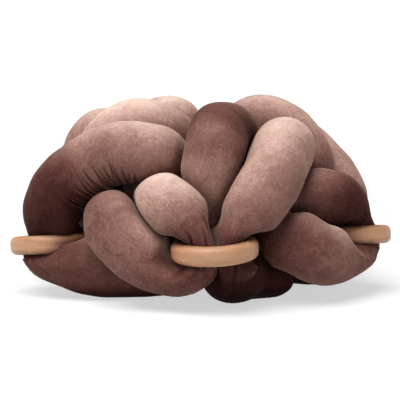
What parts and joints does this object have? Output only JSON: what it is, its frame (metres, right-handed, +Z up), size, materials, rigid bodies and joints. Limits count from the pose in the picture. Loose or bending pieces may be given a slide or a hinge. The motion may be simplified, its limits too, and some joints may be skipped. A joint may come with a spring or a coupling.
{
  "type": "knot ottoman",
  "caption": "Low round ottoman made of a thick stuffed velvet tube knotted on itself and gathered through wooden rings round its waist.",
  "frame": {"origin": "on the floor, at the centre of the overall box", "axes": "+Z up; -Y towards the front, the side that the reference picture shows, with one ring near the middle of it; +X to the right seen from the front"},
  "size_m": [0.7058, 0.6988, 0.3615],
  "materials": {
    "velvet": "dusty rose brown short-pile velvet, matt with a soft sheen along the pile",
    "beech": "pale pinkish beech, fine grain, thin satin lacquer"
  },
  "bodies": {
    "root": {"cushion": "velvet", "ring_front": "beech", "ring_right": "beech", "ring_back_right": "beech", "ring_back_left": "beech", "ring_left": "beech"}
  },
  "joints": []
}
